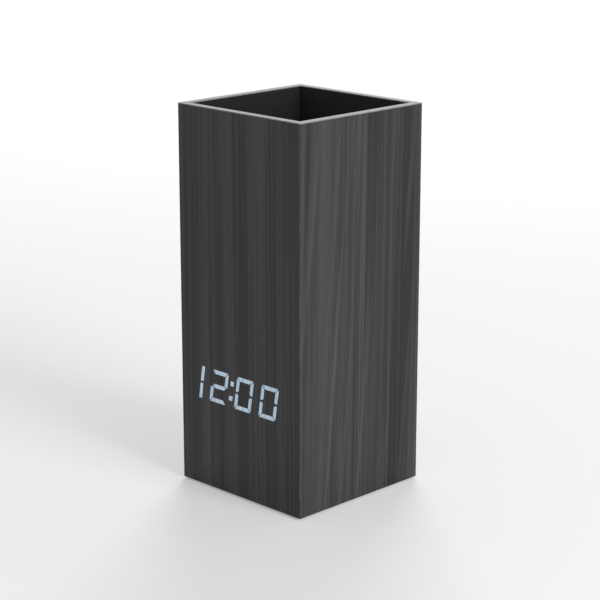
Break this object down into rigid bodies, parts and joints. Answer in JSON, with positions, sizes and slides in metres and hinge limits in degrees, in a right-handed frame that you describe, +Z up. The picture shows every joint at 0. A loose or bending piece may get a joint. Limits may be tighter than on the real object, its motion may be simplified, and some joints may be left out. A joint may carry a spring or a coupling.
{
  "type": "pen holder clock",
  "caption": "Square wood-finish pen pot with an open well on top and a lit clock display showing through the front veneer.",
  "frame": {"origin": "middle of the square footprint, on the surface the feet stand on", "axes": "+Z up out of the pen well, -Y out of the display's face, +Y out of the back with the controls, +X to the right seen from the front"},
  "size_m": [0.066, 0.066, 0.152],
  "materials": {
    "veneer": "satin dark grained veneer",
    "fibreboard": "matt, stained near black",
    "edge_band": "satin light grey",
    "pine": "sawn",
    "light_guide": "translucent, lit from behind",
    "reflector": "matt white",
    "circuit_board": "satin solder mask",
    "steel": "zinc plated",
    "contact_steel": "nickel plated",
    "black_plastic": "fine texture",
    "grey_plastic": "smooth",
    "white_plastic": "smooth",
    "rubber": "matt",
    "cell_sleeve": "printed sleeve, plain",
    "wire": "smooth sleeve"
  },
  "bodies": {
    "case": {"veneer_wrap": "veneer", "board_front": "fibreboard", "board_right": "fibreboard", "board_back": "fibreboard", "board_left": "fibreboard", "well_floor": "fibreboard", "rim_edge_band": "edge_band", "glue_block_1": "pine", "glue_block_2": "pine", "glue_block_3": "pine", "glue_block_4": "pine", "light_guide": "light_guide", "light_box": "reflector", "display_pcb": "circuit_board", "main_pcb": "circuit_board", "display_screw_1": "steel", "display_screw_2": "steel", "bezel_screw_1": "steel", "bezel_screw_2": "steel", "pcb_screw_1": "steel", "pcb_screw_2": "steel", "base_screw_1": "steel", "base_screw_2": "steel", "base_screw_3": "steel", "base_screw_4": "steel", "contact_negative": "contact_steel", "contact_positive": "contact_steel", "contact_bridge_left": "contact_steel", "contact_bridge_right": "contact_steel", "power_inlet": "contact_steel", "coin_cell": "contact_steel", "control_bezel": "black_plastic", "base_cover": "black_plastic", "controller_chip": "black_plastic", "buzzer": "black_plastic", "coin_cell_holder": "black_plastic", "switch_set": "grey_plastic", "switch_up": "grey_plastic", "switch_down": "grey_plastic", "eco_switch_body": "grey_plastic", "microphone": "grey_plastic", "temperature_sensor": "grey_plastic", "ribbon_cable": "grey_plastic", "foot_1": "rubber", "foot_2": "rubber", "foot_3": "rubber", "foot_4": "rubber", "battery_cell_1": "cell_sleeve", "battery_cell_2": "cell_sleeve", "battery_cell_3": "cell_sleeve", "battery_lead": "wire"},
    "button_set": {"button_set": "black_plastic", "plunger_set": "white_plastic"},
    "button_up": {"button_up": "black_plastic", "plunger_up": "white_plastic"},
    "button_down": {"button_down": "black_plastic", "plunger_down": "white_plastic"},
    "eco_switch_knob": {"eco_switch_knob": "black_plastic"},
    "battery_door": {"battery_door": "black_plastic"}
  },
  "joints": [
    {"name": "button_set_press", "type": "slide", "parent": "case", "child": "button_set", "axis": [0, -1, 0], "range_m": [0, 0.0006], "stiffness_N_per_m": 300},
    {"name": "button_up_press", "type": "slide", "parent": "case", "child": "button_up", "axis": [0, -1, 0], "range_m": [0, 0.0006], "stiffness_N_per_m": 300},
    {"name": "button_down_press", "type": "slide", "parent": "case", "child": "button_down", "axis": [0, -1, 0], "range_m": [0, 0.0006], "stiffness_N_per_m": 300},
    {"name": "eco_switch_slide", "type": "slide", "parent": "case", "child": "eco_switch_knob", "axis": [1, 0, 0], "range_m": [0, 0.0025]},
    {"name": "battery_door_hinge", "type": "hinge", "parent": "case", "child": "battery_door", "pos_m": [-0.0234, 0, 0.0021], "axis": [0, 1, 0], "range_deg": [0, 95]}
  ]
}
